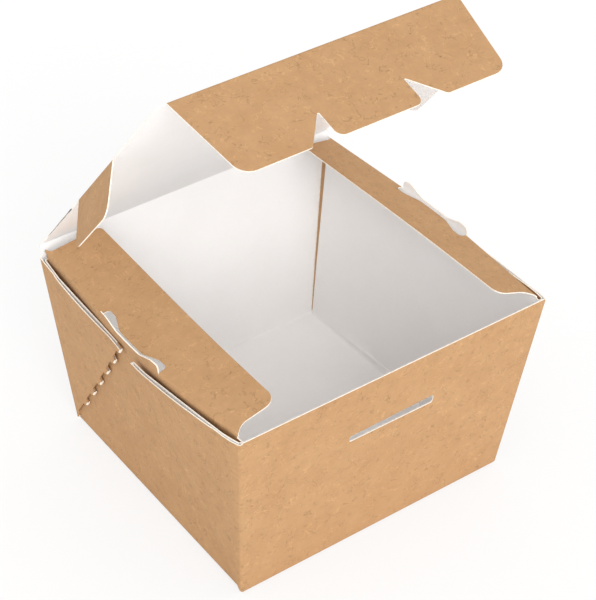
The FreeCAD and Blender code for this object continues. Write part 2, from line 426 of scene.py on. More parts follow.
@dataclass
class BoardMesh:
    """Closed shells of board that make one piece."""

    thickness: float
    grid: float = 4.0
    edge_room: float = 0.4
    crease_room: float = 0.3
    weld: float = 1e-5
    least_radius: float = 0.01
    points: list[np.ndarray] = field(default_factory=list)
    faces: list[tuple[int, ...]] = field(default_factory=list)
    skins: list[int] = field(default_factory=list)
    count: int = 0

    def add(self, points: np.ndarray, faces: Sequence[tuple[int, ...]], skins: Sequence[int]) -> None:
        """Adds a shell.

        Args:
            points: its points, in millimetres.
            faces: its faces, by the shell's own point numbers.
            skins: the material index of each face.
        """
        self.points.append(points)
        self.faces += [tuple(i + self.count for i in face) for face in faces]
        self.skins += list(skins)
        self.count += len(points)

    def panel(
        self,
        outline: Sequence[Point],
        sheet: FlatSheet,
        creases: Sequence[Crease] = (),
        holes: Sequence[Sequence[Point]] = (),
        shape: PointRule | None = None,
        painted_shade_edges: PointRule | None = None,
    ) -> None:
        """Adds a flat outline of board, folded along its creases.

        Args:
            outline: the cut edge, in the flat sheet.
            sheet: where the flat sheet lies.
            creases: its folds, outermost first.
            holes: cut-outs.
            shape: moves the folded points, for a bow.
            painted_shade_edges: tells at which flat points the cut edge takes the kraft face's colour, as
                painted shade in slits.
        """
        loops = [self._divided(loop) for loop in (outline, *holes)]
        flat, triangles = self._triangles(loops, [line for c in creases for line in c.lines()])
        skins = []
        for height in (self.thickness / 2, -self.thickness / 2):
            skin = sheet.place(flat, height)
            for crease in creases:
                skin = crease.bend(skin, sheet)
            skins.append(skin)
        both = np.concatenate(skins)
        if shape is not None:
            both = shape(both)
        n = len(flat)
        faces = [tuple(t) for t in triangles] + [(t[2] + n, t[1] + n, t[0] + n) for t in triangles]
        kinds = [Skin.KRAFT.value] * len(triangles) + [Skin.WHITE.value] * len(triangles)
        directed = {(t[i], t[(i + 1) % 3]) for t in triangles for i in range(3)}
        rim = [(a, b) for a, b in sorted(directed) if (b, a) not in directed]
        faces += [(b, a, a + n, b + n) for a, b in rim]
        middles = np.array([(flat[a] + flat[b]) / 2 for a, b in rim])
        # Cut edges that the rule marks take the kraft skin instead of the cut finish: painted shade.
        shade_mask = np.zeros(len(rim), bool) if painted_shade_edges is None else painted_shade_edges(middles)
        kinds += [Skin.KRAFT.value if in_shade else Skin.CUT.value for in_shade in shade_mask]
        self.add(both, faces, kinds)

    def loop_strip(
        self,
        first: np.ndarray,
        second: np.ndarray,
        bulge: np.ndarray,
        convex: Skin,
        shape: PointRule | None = None,
        steps: int = 10,
    ) -> None:
        """Adds a sheet folded right back on itself: a half round between two lines.

        Args:
            first: points along one line, in the middle of the board.
            second: the matching points along the other line.
            bulge: unit vector that the fold swells toward.
            convex: the skin on the outside of the fold.
            shape: moves the points, for a bow.
            steps: pieces in the half round.
        """
        middle = (first + second) / 2
        half = (first - second) / 2
        radius = np.linalg.norm(half, axis=1, keepdims=True)
        unit = half / radius
        skins = []
        for offset in (self.thickness / 2, -self.thickness / 2):
            rows = []
            for a in np.linspace(0, math.pi, steps + 1):
                size = np.maximum(radius + offset, self.least_radius)
                rows.append(middle + size * (unit * math.cos(a) + bulge * math.sin(a)))
            skins.append(np.concatenate(rows))
        both = np.concatenate(skins)
        if shape is not None:
            both = shape(both)
        wide, n = len(first), len(first) * (steps + 1)
        concave = Skin.WHITE if convex is Skin.KRAFT else Skin.KRAFT
        faces: list[tuple[int, ...]] = []
        kinds: list[int] = []
        for r in range(steps):
            for i in range(wide - 1):
                a, b = r * wide + i, (r + 1) * wide + i
                faces += [(a, a + 1, b + 1, b), (b + n, b + 1 + n, a + 1 + n, a + n)]
                kinds += [convex.value, concave.value]
        for r in range(steps):
            for i in (0, wide - 1):
                a, b = r * wide + i, (r + 1) * wide + i
                faces.append((a, b, b + n, a + n))
                kinds.append(Skin.CUT.value)
        for i in range(wide - 1):
            for row in (0, steps * wide):
                faces.append((row + i, row + i + 1, row + i + 1 + n, row + i + n))
                kinds.append(Skin.CUT.value)
        self.add(both, faces, kinds)

    def build(self, name: str, finishes: Sequence[bpy.types.Material]) -> bpy.types.Object:
        """Makes the Blender object, in metres.

        Args:
            name: the piece's name.
            finishes: the kraft, white and cut edge materials.

        Returns:
            The new object, at the origin.
        """
        mesh = bpy.data.meshes.new(name)
        mesh.from_pydata((np.concatenate(self.points) * MM).tolist(), [], self.faces)
        for finish in finishes:
            mesh.materials.append(finish)
        mesh.polygons.foreach_set("material_index", self.skins)
        shells = bmesh.new()
        shells.from_mesh(mesh)
        bmesh.ops.recalc_face_normals(shells, faces=shells.faces)
        shells.to_mesh(mesh)
        shells.free()
        mesh.polygons.foreach_set("use_smooth", [True] * len(mesh.polygons))
        mesh.set_sharp_from_angle(angle=math.radians(SHARP_ANGLE))
        log.info("%s: %d faces", name, len(mesh.polygons))
        return linked(name, mesh)

    def _divided(self, loop: Sequence[Point]) -> list[Point]:
        """Divides a loop's long sides to the grid.

        Args:
            loop: the loop's corners.

        Returns:
            The corners with the new points between them.
        """
        ring = [np.array(p, float) for p in loop]
        found: list[Point] = []
        for a, b in zip(ring, ring[1:] + ring[:1]):
            pieces = max(1, math.ceil(np.linalg.norm(b - a) / self.grid))
            found += [tuple(a + (b - a) * i / pieces) for i in range(pieces)]
        return found

    def _triangles(
        self, loops: Sequence[Sequence[Point]], lines: Sequence[tuple[Point, Point]]
    ) -> tuple[np.ndarray, list[tuple[int, int, int]]]:
        """Divides the outline into triangles.

        Args:
            loops: the outline, then its holes.
            lines: straight lines that triangles don't cross.

        Returns:
            The flat points, and triangles that run anticlockwise.
        """
        low, high = np.min(loops[0], axis=0), np.max(loops[0], axis=0)
        columns = np.arange(low[0] + self.grid / 2, high[0], self.grid)
        rows = np.arange(low[1] + self.grid / 2, high[1], self.grid)
        inner = np.array([(x, y) for x in columns for y in rows]).reshape(-1, 2)
        keep = inside(inner, loops[0])
        for loop in loops:
            keep &= clearance(inner, loop) > self.grid * self.edge_room
        for a, b in lines:
            side = np.array(b) - np.array(a)
            away = np.array([-side[1], side[0]]) / np.linalg.norm(side)
            keep &= abs((inner - np.array(a)) @ away) > self.grid * self.crease_room
        verts = [Vector(p) for p in inner[keep]]
        edges: list[tuple[int, int]] = []
        for loop in loops:
            first = len(verts)
            verts += [Vector(p) for p in loop]
            edges += [(first + i, first + (i + 1) % len(loop)) for i in range(len(loop))]
        for a, b in lines:
            edges.append((len(verts), len(verts) + 1))
            verts += [Vector(a), Vector(b)]
        found, _, faces, *_ = delaunay_2d_cdt(verts, edges, [], 0, self.weld)
        flat = np.array([tuple(p) for p in found])
        middles = np.array([flat[list(f)].mean(axis=0) for f in faces])
        keep_face = inside(middles, loops[0])
        for hole in loops[1:]:
            keep_face &= ~inside(middles, hole)
        kept = [tuple(f) for f, ok in zip(faces, keep_face) if ok]
        used = sorted({i for f in kept for i in f})
        index = {old: new for new, old in enumerate(used)}
        triangles = []
        for f in kept:
            a, b, c = (flat[i] for i in f)
            turn = (b[0] - a[0]) * (c[1] - a[1]) - (b[1] - a[1]) * (c[0] - a[0])
            order = f if turn > 0 else f[::-1]
            triangles.append(tuple(index[i] for i in order))
        return flat[used], triangles


def one_panel(
    name: str,
    finishes: Sequence[bpy.types.Material],
    sizes: BoxSizes,
    outline: Sequence[Point],
    sheet: FlatSheet,
    creases: Sequence[Crease] = (),
    shape: PointRule | None = None,
) -> bpy.types.Object:
    """Makes a piece from one outline of board.

    Args:
        name: the piece's name.
        finishes: the kraft, white and cut edge materials.
        sizes: the box's sizes.
        outline: the cut edge, in the flat sheet.
        sheet: where the flat sheet lies.
        creases: its folds, outermost first.
        shape: moves the folded points, for a bow.

    Returns:
        The piece.
    """
    board = BoardMesh(sizes.board)
    board.panel(outline, sheet, creases, shape=shape)
    return board.build(name, finishes)


class Socket:
    """A value in a node tree that Python's operators work on."""

    def __init__(self, nodes: "Nodes", source: bpy.types.NodeSocket) -> None:
        """Wraps one output socket of the tree."""
        self.nodes = nodes
        self.source = source

    def _math(self, operation: str, *values: "Socket | float") -> "Socket":
        """A Math node on the values."""
        return self.nodes.node("ShaderNodeMath", {"operation": operation}, dict(enumerate(values)))

    def __add__(self, other: "Socket | float") -> "Socket":
        """Sum."""
        return self._math("ADD", self, other)

    def __sub__(self, other: "Socket | float") -> "Socket":
        """Difference."""
        return self._math("SUBTRACT", self, other)

    def __mul__(self, other: "Socket | float") -> "Socket":
        """Product."""
        return self._math("MULTIPLY", self, other)

    __radd__ = __add__
    __rmul__ = __mul__

    def __rsub__(self, other: float) -> "Socket":
        """Difference from a number."""
        return self._math("SUBTRACT", other, self)

    def __abs__(self) -> "Socket":
        """Size without sign."""
        return self._math("ABSOLUTE", self)

    def above(self, low: float, high: float) -> "Socket":
        """A soft step from 0 at low to 1 at high."""
        inputs = {"Value": self, "From Min": low, "From Max": high}
        return self.nodes.node("ShaderNodeMapRange", {"interpolation_type": "SMOOTHSTEP"}, inputs)


class Nodes:
    """A node tree that is built node by node."""

    def __init__(self, tree: bpy.types.NodeTree) -> None:
        """Empties the tree."""
        self.tree = tree
        tree.nodes.clear()

    def node(
        self,
        kind: str,
        settings: dict[str, object] | None = None,
        inputs: "dict[str | int, Socket | object] | None" = None,
        output: int | str = 0,
    ) -> Socket | None:
        """Adds a node.

        Args:
            kind: its Blender type.
            settings: properties, set before the inputs.
            inputs: values or links by input name or number.
            output: the output that is wanted.

        Returns:
            That output, or None for a node without outputs.
        """
        made = self.tree.nodes.new(kind)
        for key, value in (settings or {}).items():
            setattr(made, key, value)
        for key, value in (inputs or {}).items():
            if isinstance(value, Socket):
                self.tree.links.new(value.source, made.inputs[key])
            else:
                made.inputs[key].default_value = value
        return Socket(self, made.outputs[output]) if made.outputs else None


class Shader(Nodes):
    """A material that is built node by node."""

    def __init__(self, name: str) -> None:
        """Starts an empty material.

        Args:
            name: the material's name.
        """
        self.material = bpy.data.materials.new(name)
        self.material.use_nodes = True
        super().__init__(self.material.node_tree)

    def place(self, shift: Triple = (0, 0, 0)) -> Socket:
        """Object coordinates, moved."""
        where = self.node("ShaderNodeTexCoord", output="Object")
        return self.node("ShaderNodeMapping", {}, {"Vector": where, "Location": shift})

    def noise(
        self, where: Socket, scale: float, detail: float = 3, rough: float = 0.5, twist: float = 0
    ) -> Socket:
        """Noise from 0 to 1."""
        inputs = {"Vector": where, "Scale": scale, "Detail": detail, "Roughness": rough, "Distortion": twist}
        return self.node("ShaderNodeTexNoise", {}, inputs)

    def mix(self, share: Socket, low: object, high: object) -> Socket:
        """A colour between two others."""
        return self.node("ShaderNodeMix", {"data_type": "RGBA"}, {0: share, 6: low, 7: high}, output=2)

    def scaled(self, colour: Socket, factor: Socket) -> Socket:
        """A colour times a value."""
        return self.node("ShaderNodeVectorMath", {"operation": "SCALE"}, {0: colour, "Scale": factor})

    def bump(self, height: Socket, strength: float, distance: float) -> Socket:
        """A Bump node's normal."""
        return self.node("ShaderNodeBump", {}, {"Height": height, "Strength": strength, "Distance": distance})

    def finish(
        self, colour: Socket, roughness: Socket | float, normal: Socket, specular: float
    ) -> bpy.types.Material:
        """Ends the tree in one Principled shader.

        Args:
            colour: Base Color.
            roughness: Roughness.
            normal: Normal.
            specular: specular level.

        Returns:
            The material.
        """
        inputs = {
            "Base Color": colour,
            "Roughness": roughness,
            "Specular IOR Level": specular,
            "Normal": normal,
        }
        surface = self.node("ShaderNodeBsdfPrincipled", {}, inputs)
        self.node("ShaderNodeOutputMaterial", {}, {"Surface": surface})
        return self.material


@dataclass(frozen=True)
class KraftFinish:
    """Unbleached kraft paper: pale and dark fibres, a few specks and a soft mottle.

    A noise has its scale, detail and roughness in one field, and a fibre its shift, scale and width.
    """

    pale: Colour = (0.478, 0.28, 0.1355, 1)
    dark: Colour = (0.441, 0.251, 0.118, 1)
    cloud: Triple = (70, 4, 0.65)
    cloud_range: Point = (0.25, 0.75)
    grain: Triple = (330, 6, 0.72)
    grain_share: float = 0.3
    curl: float = 1.6
    break_scale: float = 1.3
    break_range: Point = (0.5, 0.58)
    pale_fibre: Triple = (0.31, 215, 0.04)
    pale_share: float = 0.16
    pale_relief: float = 0.6
    dark_fibre: Triple = (1.7, 200, 0.034)
    dark_share: float = 0.21
    dark_relief: float = 0.4
    speck: float = 0.2
    speck_scale: float = 520.0
    speck_range: Point = (0.1, 0.3)
    patch_scale: float = 260
    patch_shift: Triple = (2.0, 0.4, 0.9)
    patch_range: Point = (0.66, 0.7)
    matt: Point = (0.74, 0.16)
    bump: Point = (0.16, 0.0002)
    specular: float = 0.28

    def fibres(self, s: Shader, shift: float, scale: float, width: float) -> Socket:
        """Short curled lines.

        Args:
            s: the shader to build in.
            shift: moves the pattern, so that two calls differ.
            scale: lines in a metre.
            width: how wide a line is, as a share of the noise.

        Returns:
            1 on a line and 0 off it.
        """
        where = s.place((shift, shift * 0.7, -shift))
        line = 1 - abs(s.noise(where, scale, 1.0, 0.5, self.curl) - 0.5).above(0, width)
        broken = s.noise(where, scale * self.break_scale, 1.0).above(*self.break_range)
        return line * broken

    def make(self) -> bpy.types.Material:
        """Builds the material.

        Returns:
            The material.
        """
        s = Shader("kraft_face")
        where = s.place()
        cloud = s.noise(where, *self.cloud)
        grain = s.noise(where, *self.grain)
        pale = self.fibres(s, *self.pale_fibre)
        dark = self.fibres(s, *self.dark_fibre)
        cells = s.node("ShaderNodeTexVoronoi", {}, {"Vector": where, "Scale": self.speck_scale})
        chosen = s.noise(s.place(self.patch_shift), self.patch_scale, 0).above(*self.patch_range)
        specks = (1 - cells.above(*self.speck_range)) * chosen
        tone = 1 + (grain - 0.5) * self.grain_share
        tone = tone + pale * self.pale_share - dark * self.dark_share - specks * self.speck
        colour = s.scaled(s.mix(cloud.above(*self.cloud_range), self.dark, self.pale), tone)
        height = grain + pale * self.pale_relief - dark * self.dark_relief
        roughness = self.matt[0] + grain * self.matt[1]
        return s.finish(colour, roughness, s.bump(height, *self.bump), self.specular)


@dataclass(frozen=True)
class WhiteFinish:
    """The white inner face: smooth, matt, with a faint cloud."""

    pale: Colour = (0.905, 0.885, 0.872, 1)
    dark: Colour = (0.875, 0.855, 0.84, 1)
    cloud: Triple = (40, 4, 0.6)
    cloud_share: float = 0.6
    cloud_range: Point = (0.3, 0.7)
    grain: Triple = (700, 4, 0.7)
    matt: Point = (0.6, 0.14)
    bump: Point = (0.08, 0.0001)
    specular: float = 0.32

    def make(self) -> bpy.types.Material:
        """Builds the material.

        Returns:
            The material.
        """
        s = Shader("white_face")
        where = s.place()
        cloud = s.noise(where, *self.cloud)
        grain = s.noise(where, *self.grain)
        both = cloud * self.cloud_share + grain * (1 - self.cloud_share)
        colour = s.mix(both.above(*self.cloud_range), self.dark, self.pale)
        roughness = self.matt[0] + grain * self.matt[1]
        return s.finish(colour, roughness, s.bump(grain, *self.bump), self.specular)


@dataclass(frozen=True)
class CutFinish:
    """The cut edge, where pale fibres show."""

    pale: Colour = (0.93, 0.88, 0.8, 1)
    dark: Colour = (0.78, 0.68, 0.55, 1)
    torn: Triple = (1500, 4, 0.7)
    torn_range: Point = (0.3, 0.62)
    matt: float = 0.9
    bump: Point = (0.2, 0.0001)
    specular: float = 0.2

    def make(self) -> bpy.types.Material:
        """Builds the material.

        Returns:
            The material.
        """
        s = Shader("cut_edge")
        torn = s.noise(s.place(), *self.torn)
        colour = s.mix(torn.above(*self.torn_range), self.dark, self.pale)
        return s.finish(colour, self.matt, s.bump(torn, *self.bump), self.specular)


@dataclass(frozen=True)
class Bow:
    """The outward swell of a side's sheets and the slight rack of the rim.

    It moves all that is creased to a side: its wall and dust flap (layer 0) and its web's layers (1 and 2).
    """

    sizes: BoxSizes
    layer: int = 0
    wall_left: float = 3.0
    wall_right: float = 2.4
    lip_left: float = 1.8
    lip_right: float = 0.4
    lip_power: float = 16
    rise_power: float = 1.6
    end_inset: float = 2
    round_power: float = 1.5
    skew: float = 0.3
    rack: float = 1.5
    inner_fade: float = 22.0
    foot_pull: float = 1.8
    rear_curl: float = 2.5
    curl_start: float = 10
    curl_run: float = 46
    curl_limit: float = 1.05
    rim_share: float = 0.87
    web_right_share: float = 0.75
    spread: float = 0.7
    spread_place: float = 28
    spread_run: float = 16
    pinch: float = 0.42
    pinch_place: float = 53.5
    pinch_run: float = 3.5
    layer_power: float = 6
    web_places: tuple[float, ...] = (-64.8, -60, -55, -47.7, -12, 0, 10, 39, 50, 63)
    web_swell: tuple[float, ...] = (0, 1.3, 2.0, 2.5, 4.9, 4.6, 3.1, 2.2, 1.7, 0)

    def __call__(self, points: np.ndarray) -> np.ndarray:
        """The points moved outward.

        Args:
            points: places in millimetres.

        Returns:
            The moved points.
        """
        s = self.sizes
        x, y, z = points.T
        u = y / (s.top_y - self.end_inset)
        along = np.clip(1 - u**2, 0, None) ** self.round_power * (1 - self.skew * u)
        up = np.clip(z / s.height, 0, 1)
        wall_x = s.layer_foot(0) + (s.crease_x - s.layer_foot(0)) * up
        near = np.clip(1 - (wall_x - abs(x)) / self.inner_fade, 0, 1)
        left = x < 0
        if self.layer == 0:
            lip = np.where(left, self.lip_left, self.lip_right)
            wall = np.where(left, self.wall_left, self.wall_right)
            out = along * (wall * up**self.rise_power + lip * up**self.lip_power)
            rearward = np.clip((y - self.curl_start) / self.curl_run, 0, self.curl_limit)
            curl = self.foot_pull + self.rear_curl * rearward**2
            out -= np.where(left, 0, curl * (1 - self.rim_share * up))
        else:
            swell = np.interp(y, self.web_places, self.web_swell)
            out = np.where(left, swell, self.web_right_share * swell) * up**self.rise_power
        if self.layer == 2:
            open_part = self.spread * np.exp(-(((abs(y) - self.spread_place) / self.spread_run) ** 2))
            shut_part = self.pinch * np.exp(-(((abs(y) - self.pinch_place) / self.pinch_run) ** 2))
            out += (open_part - shut_part) * up**self.layer_power
        moved = points.copy()
        moved[:, 0] += np.sign(x) * out * near + self.rack * up * np.clip(0.5 - y / s.top_depth, 0, 1)
        return moved


@dataclass(frozen=True)
class LockTab:
    """Outline of the tab that stands in a side wall, and of the cut-out that it leaves in the dust flap."""

    centre: float = -0.9
    root: float = 37.6
    lobe_width: float = 4.6
    lobe_height: float = 3.2
    dip_width: float = 15.0
    dip_height: float = 1.0
    dip_round: float = 6.0
    lobe_round: float = 1.6

    def outline(self, foot: float, rim: float, cut: float) -> list[Point]:
        """The tab as (along, up) points from its positive end to its negative end.

        Args:
            foot: height of its root.
            rim: height that its sizes are measured from.
            cut: how much larger it is all round.

        Returns:
            The points, with the lobes rounded.
        """
        half, dip = self.root / 2 + cut, self.dip_width / 2
        high, low = rim + self.lobe_height + cut, rim + self.dip_height + cut
        corners: list[Point | Rounded] = [
            (half, foot),
            Rounded((half, high), self.lobe_round),
            Rounded((half - self.lobe_width, high), 2 * self.lobe_round),
            Rounded((dip, low), self.dip_round),
            Rounded((-dip, low), self.dip_round),
            Rounded((-(half - self.lobe_width), high), 2 * self.lobe_round),
            Rounded((-half, high), self.lobe_round),
            (-half, foot),
        ]
        return [(x + self.centre, y) for x, y in rounded_outline(corners)]


@dataclass(frozen=True)
class Perforation:
    """A fold that is cut through in slits, with bridges of board left between them."""

    first: float = 19.5
    pitch: float = 14.6
    bridge: float = 3.8
    low_end: float = 3.0
    ramp: float = 0.9

    def steps(self, length: float) -> int:
        """How many equal steps lie between the first bridge and the last."""
        return round((length - self.bridge / 2 - self.first) / self.pitch)

    def spacing(self, length: float) -> float:
        """Distance between the middles of two bridges on a fold of this length."""
        return (length - self.bridge / 2 - self.first) / self.steps(length)

    def slits(self, length: float) -> list[Point]:
        """Finds the slits of a fold.

        Args:
            length: the fold's length.

        Returns:
            Start and end of each slit, measured from the foot of the fold.
        """
        step, half = self.spacing(length), self.bridge / 2
        starts = [self.low_end] + [self.first + step * i + half for i in range(self.steps(length))]
        ends = [self.first + step * i - half for i in range(self.steps(length) + 1)]
        return list(zip(starts, ends))


@dataclass
class Tray:
    """Floor, walls, lock tabs and web corners."""

    sizes: BoxSizes
    finishes: Sequence[bpy.types.Material]
    tab: LockTab = LockTab()
    perforation: Perforation = Perforation()
    slit_depths: Point = (3.4, 1.3)
    slit_slack: float = 0.2
    slot_length: float = 37.5
    slot_height: float = 3.8
    slot_depth: float = 25.2
    slot_round: float = 0.8
    slot_end_lift: float = 0.2
    slot_end_drop: float = 0.8
    rear_gap_top: float = 1.5
    rear_gap_foot: float = 1.2
    foot_gap: float = 1.0
    foot_inset: float = 0.6
    wall_inset: float = 0.2
    web_step: float = 0.3
    start_share: float = 0.02
    # Sizes of the kraft-faced groove that paints shade into the rear corners' gap.
    shade_groove_steps: Point = (0.35, 0.35)
    shade_groove_back: float = 0.45
    tab_leans: tuple[Point, Point] = ((-8.0, 4.0), (-4.0, 6.0))

    @property
    def floor_sheet(self) -> FlatSheet:
        """The sheet flat on the floor, kraft face down."""
        return FlatSheet((0, 0, self.sizes.base_z), (1, 0, 0), (0, 1, 0), -1.0)

    def side_crease(self, side: int) -> Crease:
        """The crease between the floor and a side wall."""
        s = self.sizes
        return Crease((side * s.layer_foot(0), 0), (side, 0), 90 - s.layer_lean(0), s.crease_radius)

    def end_crease(self, end: int) -> Crease:
        """The crease between the floor and the front or back wall."""
        s = self.sizes
        return Crease((0, end * s.base_y), (0, end), 90 - s.end_lean, s.crease_radius)

    def corner_geometry(self) -> tuple[float, float, float]:
        """Works out the angles at a web.

        These are the corner line's lean in the front wall, half the web's angle and the fold between the two.

        Returns:
            Three angles in degrees.
        """
        s = self.sizes
        lean = math.degrees(math.atan((s.top_x - s.base_x) / s.end_slant))
        half = (90 - lean - s.web_lean) / 2
        end_lean, side_lean = math.radians(s.end_lean), math.radians(s.layer_lean(2))
        front = np.array([0, -math.cos(end_lean), -math.sin(end_lean)])
        right = np.array([math.cos(side_lean), 0, -math.sin(side_lean)])
        return lean, half, math.degrees(math.acos(front @ right))

    def diagonal_length(self) -> float:
        """Length of a web's diagonal fold."""
        _, half, _ = self.corner_geometry()
        return self.sizes.web_end_height / math.cos(math.radians(half - self.sizes.web_lean))

    def end_sheet(
        self, board: BoardMesh, end: int, drop: float, top: float, hole: list[Point] | None
    ) -> None:
        """Adds the front or back wall with the two outer web layers that wrap round its corners.

        Args:
            board: the mesh to add to.
            end: -1 for the front, 1 for the back.
            drop: how far the webs' tops lie below the rim.
            top: height of the wall's top edge, along the wall.
            hole: the slot, if it has one.
        """
        s = self.sizes
        lean, half, fold = self.corner_geometry()
        bottom = self.end_crease(end)
        corner_length = s.end_slant / math.cos(math.radians(lean))
        foot = (s.base_x, 0.0)
        up = turned((0, 1), -lean)
        out = turned((1, 0), -lean)
        web_end = turned((0, self.diagonal_length()), -lean - half)
        reach = s.corner_radius * math.tan(math.radians(fold) / 2)
        share = corner_length * (1 - drop / s.end_slant)
        along, inward = turned((0, 1), -lean - half), turned((-1, 0), -lean - half)
        step = share + self.web_step
        notches = [] if end < 0 else self.slit_edge(self.slit_depths[1])
        right: list[Point] = [
            (s.base_x - self.foot_inset, -bottom.reach),
            foot,
            *[(foot[0] + along[0] * t + inward[0] * d, along[1] * t + inward[1] * d) for t, d in notches],
            (foot[0] + web_end[0], web_end[1]),
            (foot[0] + up[0] * share, up[1] * share),
            (foot[0] + up[0] * step - out[0] * reach, up[1] * step - out[1] * reach),
            (foot[0] + up[0] * corner_length - out[0] * reach, top),
        ]
        outline = [*right, *mirrored(right)]
        flat = [(x, end * (s.base_y + y)) for x, y in outline]
        creases = []
        for side in (1, -1):
            start = (side * foot[0], end * s.base_y)
            creases.append(Crease(start, (side * out[0], end * out[1]), fold, s.corner_radius, 8))
        creases.append(bottom)
        holes = [] if hole is None else [[(x, end * (s.base_y + y)) for x, y in hole]]

        def slit(points: np.ndarray) -> np.ndarray:
            """Finds which points lie on the perforated folds, where the cut edge takes the kraft face as
            painted shade.

            Args:
                points: flat points on the cut edge.

            Returns:
                True for each point beyond a fold's foot and short of its top.
            """
            x, y = abs(points[:, 0]) - foot[0], points[:, 1] * end - s.base_y
            up_fold, in_web = x * along[0] + y * along[1], x * inward[0] + y * inward[1]
            on_fold = (in_web > -self.slit_slack) & (in_web < self.slit_depths[1] + self.slit_slack)
            return (end > 0) & on_fold & (up_fold > 1) & (up_fold < self.diagonal_length() - 1)

        board.panel(flat, self.floor_sheet, creases, holes, Bow(s, 2), slit)

    def floor_and_sides(self, board: BoardMesh) -> None:
        """Adds the floor and the side walls with their tabs.

        Args:
            board: the mesh to add to.
        """
        s = self.sizes
        slant = s.layer_slant(0)
        top = slant - DustFlap.crease(s).reach
        foot_x, crease = s.layer_foot(0), self.side_crease(1)
        floor_y = s.base_y - self.end_crease(1).reach
        right: list[Point] = [
            (foot_x - crease.reach, -floor_y),
            (foot_x + self.wall_inset, -(s.base_y - self.foot_gap)),
            (foot_x + top, -s.inner_corner_y),
        ]
        tab = self.tab.outline(top, slant, 0.0)
        right += [(foot_x + y, x) for x, y in reversed(tab)]
        right += [
            (foot_x + top, s.inner_corner_y - self.rear_gap_top),
            (foot_x + self.wall_inset, s.base_y - self.rear_gap_foot),
            (foot_x - crease.reach, floor_y),
        ]
        left = [(-x, y) for x, y in reversed(right)]

        def shape(points: np.ndarray) -> np.ndarray:
            """Twists the tabs, then swells the walls."""
            return Bow(s)(self.twisted(points))

        board.panel([*right, *left], self.floor_sheet, [crease, self.side_crease(-1)], shape=shape)

    def twisted(self, points: np.ndarray) -> np.ndarray:
        """Leans the lock tabs out, more at one end than at the other.

        Args:
            points: the folded walls, in millimetres.

        Returns:
            The moved points.
        """
        x, y, z = points.T
        rise = np.clip(z - self.sizes.height, 0, None)
        share = np.clip((y - self.tab.centre) / self.tab.root + 0.5, 0, 1)
        (left_front, left_rear), (right_front, right_rear) = self.tab_leans
        left = left_front + (left_rear - left_front) * share
        right = right_front + (right_rear - right_front) * share
        lean = np.radians(np.where(x < 0, left, right))
        moved = points.copy()
        moved[:, 0] += np.sign(x) * rise * np.sin(lean)
        moved[:, 2] -= rise * (1 - np.cos(lean))
        return moved

    def slit_edge(self, depth: float) -> list[Point]:
        """A web's diagonal edge with a notch at each slit of its perforated fold.

        Args:
            depth: how deep the notches are.

        Returns:
            Points as (distance up the fold, depth into the web), from the foot up.
        """
        found: list[Point] = []
        for low, high in self.perforation.slits(self.diagonal_length()):
            ramp = min(self.perforation.ramp, (high - low) / 3)
            found += [(low, 0.0), (low + ramp, depth), (high - ramp, depth), (high, 0.0)]
        return found

    def layer_point(self, side: int, layer: int, along: float, up: float) -> np.ndarray:
        """Finds a place on a side's sheet.

        Args:
            side: -1 left, 1 right.
            layer: 0 for the side wall, 1 and 2 for the web's layers.
            along: distance along the side from its middle.
            up: distance up the sheet from the floor.

        Returns:
            The place, in millimetres.
        """
        s = self.sizes
        lean = math.radians(s.layer_lean(layer))
        x = s.layer_foot(layer) + up * math.sin(lean)
        return np.array([side * x, along, s.base_z + up * math.cos(lean)])

    def web_lines(self, side: int, end: int, drop: float, count: int = 24) -> dict[str, np.ndarray]:
        """Lines that a web's folds follow.

        Args:
            side: -1 left, 1 right.
            end: -1 front, 1 back.
            drop: how far the web's top lies below the rim.
            count: points on each line.

        Returns:
            Points by name: diagonal_1, diagonal_2, corner_0 and corner_1.
        """
        s = self.sizes
        _, half, _ = self.corner_geometry()
        inward = math.radians(half - s.web_lean)
        gap = self.rear_gap_top if end > 0 else 0.0
        foot = s.base_y - (self.rear_gap_foot if end > 0 else self.foot_gap)
        run = s.inner_corner_y - gap - foot
        lengths = np.linspace(self.start_share, 1, count) * self.diagonal_length()
        rises = np.linspace(self.start_share, 1 - drop / s.height, count)
        lines = {f"diagonal_{layer}": [] for layer in (1, 2)} | {f"corner_{layer}": [] for layer in (0, 1)}
        for layer in (1, 2):
            for d in lengths:
                along = end * (s.base_y - d * math.sin(inward))
                point = self.layer_point(side, layer, along, d * math.cos(inward))
                lines[f"diagonal_{layer}"].append(point)
        for layer in (0, 1):
            for t in rises:
                point = self.layer_point(side, layer, end * (foot + run * t), s.layer_slant(layer) * t)
                lines[f"corner_{layer}"].append(point)
        return {name: np.array(line) for name, line in lines.items()}

    def web(self, board: BoardMesh, side: int, end: int, drop: float, whole_fold: bool) -> None:
        """Adds a web's inner layer and its folds.

        Args:
            board: the mesh to add to.
            side: -1 left, 1 right.
            end: -1 front, 1 back.
            drop: how far its top lies below the rim.
            whole_fold: whether the diagonal fold is unbroken.
        """
        s = self.sizes
        lines = self.web_lines(side, end, drop)
        lean = math.radians(s.layer_lean(1))
        sheet = side_sheet(s, side, 1, -side)

        def flat(point: np.ndarray) -> Point:
            """A place on the layer in its own sheet."""
            return (float(point[1]), float((point[2] - s.base_z) / math.cos(lean)))

        corner, diagonal = lines["corner_1"], lines["diagonal_1"]
        notches = [] if whole_fold else self.slit_edge(self.slit_depths[0])
        first, last = np.array(flat(diagonal[0])), np.array(flat(diagonal[-1]))
        along = (last - first) / np.linalg.norm(last - first)
        inward = np.array([along[1], -along[0]]) * end
        start = self.diagonal_length() * self.start_share
        edge = [tuple(first + along * (t - start) + inward * d) for t, d in reversed(notches)]

        def slit(points: np.ndarray) -> np.ndarray:
            """Finds which points lie on the perforated fold, where the cut edge takes the kraft face as
            painted shade.

            Args:
                points: flat points on the cut edge.

            Returns:
                True for each point above the fold's foot.
            """
            rel = points - first
            near = abs(rel @ inward) < self.slit_depths[0] + self.slit_slack
            return (not whole_fold) & near & (rel @ along > 0)

